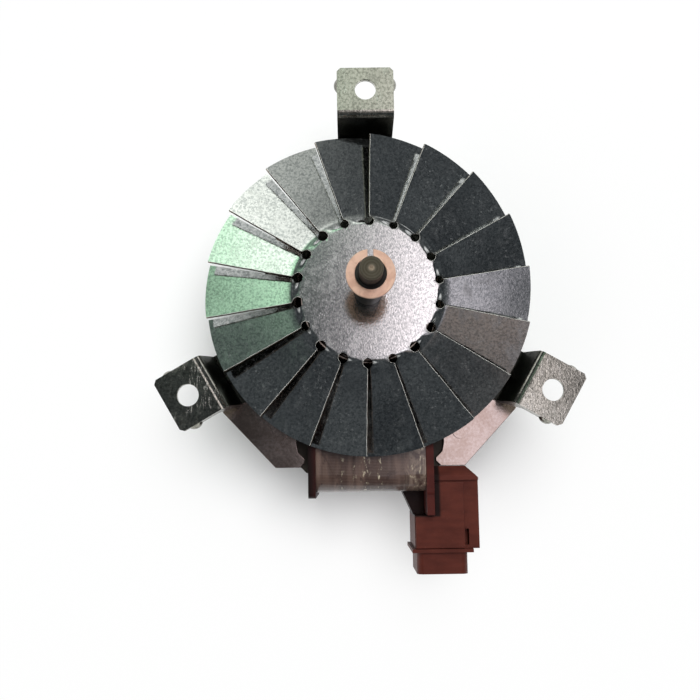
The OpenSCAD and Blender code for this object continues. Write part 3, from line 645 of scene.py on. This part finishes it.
def blade_point(r, column, blade):
    """One point of a blade's top face, with the raised edge along +X, and the way down through its sheet."""
    first, last = half_gap(r, blade) / r, half_gap(r, blade + 1) / r
    beside = level = 0.0
    for i in range(column + 1):
        share = i / COLUMNS
        angle = first + share * (STRIDE - first - last)
        here = r * math.sin(angle)
        turn = blade_turn(r, share - 0.5 / COLUMNS if i else 0) * bend_of[blade]
        level += (here - beside) * math.tan(turn)
        beside = here
    along = r * math.cos(angle)
    turn = blade_turn(r, share) * bend_of[blade]
    fall = math.tan(SLOPE) * max(0, along - RELIEF_R)
    wander = EDGE_WANDER * noise.noise(Vector((r * 0.35, blade * 7.3, 0))) * smooth((r - 22) / 8)
    edge = (1 - share) ** 6 * wander
    spot = Vector((along * 0.12, beside * 0.12, blade * 3.1))
    dent = DENT_DEPTH * noise.noise(spot) * smooth((r - 23) / 6)
    top = Vector((along, edge - beside, -fall - level - FACE_DROP + dent))
    return top, Vector((0, math.sin(turn), -math.cos(turn)))


root_rows = [RELIEF_R - RELIEF_HOLE_R * math.cos(math.radians(a)) for a in range(0, 181, 15)]
blade_rows = root_rows + [21.7, 22.3, 23.1, 24.2, 26, 29, 33, 37, 41, 44, FAN_R]
hub_rows = [BORE_R, 5.5, 8, 11, 14, 16, 17.4, 18.2]
fan = bmesh.new()
layers = []
for under in (0, 1):
    rim = []
    blades = []
    for k in range(BLADES):
        turned = Matrix.Rotation(FIRST_EDGE - k * STRIDE, 4, "Z") @ Matrix.Translation((0, 0, fan_face))
        rows = []
        for r in blade_rows:
            row = []
            for i in range(COLUMNS + 1):
                top, inward = blade_point(r, i, k)
                row.append(fan.verts.new((turned @ (top + inward * SHEET * under)) * MM))
            rows.append(row)
        blades.append(rows)
        rim += rows[0]
    hub = []
    hub_z = (fan_face - FACE_DROP - SHEET * under) * MM
    for r in hub_rows:
        shares = [r / math.hypot(v.co.x, v.co.y) * MM for v in rim]
        hub.append([fan.verts.new((v.co.x * s, v.co.y * s, hub_z)) for v, s in zip(rim, shares)])
    layers.append((hub + [rim], blades))


def skin(rows, flip, closed=False):
    """Quads between neighbouring rows of vertices."""
    for low, high in zip(rows, rows[1:]):
        count = len(low)
        for i in range(count if closed else count - 1):
            j = (i + 1) % count
            quad = [low[i], high[i], high[j], low[j]]
            fan.faces.new(quad if flip else quad[::-1]).smooth = True


def wall(upper, lower, closed=False):
    """The cut edge of the sheet, between the outline of its top face and the same outline below."""
    count = len(upper)
    for i in range(count if closed else count - 1):
        j = (i + 1) % count
        fan.faces.new([upper[i], upper[j], lower[j], lower[i]]).material_index = 1


for under, (hub, blades) in enumerate(layers):
    skin(hub, bool(under), closed=True)
    for rows in blades:
        skin(rows, bool(under))
(hub_top, blades_top), (hub_under, blades_under) = layers
# Only the raised top edges are weighted, so only they get the bright burr strip: a painted highlight.
highlight_edges = fan.edges.layers.float.new("bevel_weight_edge")
wall(hub_top[0], hub_under[0], closed=True)
for k in range(BLADES):
    sides = []
    for rows in (blades_top[k], blades_under[k]):
        raised = [row[0] for row in rows]
        dropped = [row[-1] for row in rows]
        sides.append(dropped + rows[-1][-2:0:-1] + raised[::-1])
    wall(*sides)
    for near, far in zip(blades_top[k], blades_top[k][1:]):
        fan.edges.get((near[0], far[0]))[highlight_edges] = 1
    here, onward = blades_top[k][0][-1], blades_top[(k + 1) % BLADES][0][0]
    here_under, onward_under = blades_under[k][0][-1], blades_under[(k + 1) % BLADES][0][0]
    fan.faces.new([onward, here, here_under, onward_under]).material_index = 1
bmesh.ops.recalc_face_normals(fan, faces=fan.faces)
for edge in fan.edges:
    edge.smooth = len({face.material_index for face in edge.link_faces}) == 1
fan_mesh = bpy.data.meshes.new("fan_disc")
fan.to_mesh(fan_mesh)
fan.free()
fan_disc = bpy.data.objects.new("fan_disc", fan_mesh)
bpy.context.scene.collection.objects.link(fan_disc)

BRIGHT_ZINC = (0.76, 0.77, 0.76)
GREY_ZINC = (0.44, 0.46, 0.46)
HOLE_SHADE_GREY = (0.07, 0.08, 0.075)
fan_zinc = Finish("fan_zinc")
fan_colour, fan_rough, fan_relief, fan_bare = zinc(fan_zinc, BRIGHT_ZINC, GREY_ZINC, 1350)
round_axis = fan_zinc.axis("Y").math("ARCTAN2", fan_zinc.axis("X")) - FIRST_EDGE
from_hub = fan_zinc.from_shaft()
beside_slit = (round_axis / STRIDE).math("PINGPONG", 0.5) * STRIDE * from_hub
beyond_hole = from_hub - RELIEF_R * MM
to_hole = (beside_slit * beside_slit + beyond_hole * beyond_hole).math("SQRT")
# Painted shade: the zinc darkens to grey round each relief hole, outside the hub.
hole_shade = (1 - to_hole.ramp(0.9 * MM, 2.5 * MM)) * from_hub.ramp(18.4 * MM, 20.0 * MM)
fan_zinc.feed(
    Base_Color=fan_zinc.mix(fan_colour, HOLE_SHADE_GREY, hole_shade * 0.85),
    Roughness=fan_rough + hole_shade * 0.25,
    Metallic=fan_bare,
    Normal=fan_zinc.bump(fan_relief, 0.013 * MM),
)
cut_steel = Finish("cut_edge", Metallic=1.0)
sheared = cut_steel.grain(500, detail=4, stretch=(1, 1, 6))
cut_steel.feed(
    Base_Color=cut_steel.mix((0.10, 0.075, 0.05), (0.30, 0.23, 0.16), sheared.ramp(0.35, 0.65)),
    Roughness=0.35 + sheared * 0.2,
    Normal=cut_steel.bump(sheared, 0.04 * MM),
)
# The burr is a near-white, mostly diffuse strip on the raised edges, where light catches them: painted
# highlight.
burr_highlight = Finish("cut_burr_highlight", Metallic=0.25)
burr_highlight_grain = burr_highlight.grain(900, detail=3)
burr_highlight.feed(
    Base_Color=burr_highlight.mix((0.62, 0.60, 0.56), (0.90, 0.89, 0.85), burr_highlight_grain.ramp(0.35, 0.60)),
    Roughness=0.40 + burr_highlight_grain * 0.2,
)
for finish in (fan_zinc, cut_steel, burr_highlight):
    fan_disc.data.materials.append(finish.material)
burr_highlight_bevel = fan_disc.modifiers.new("burr_highlight", "BEVEL")
burr_highlight_bevel.width = 0.07 * MM
burr_highlight_bevel.segments = 1
burr_highlight_bevel.limit_method = "WEIGHT"
burr_highlight_bevel.material = 2
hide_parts("cooling_fan")
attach(fan_disc, "rotor")
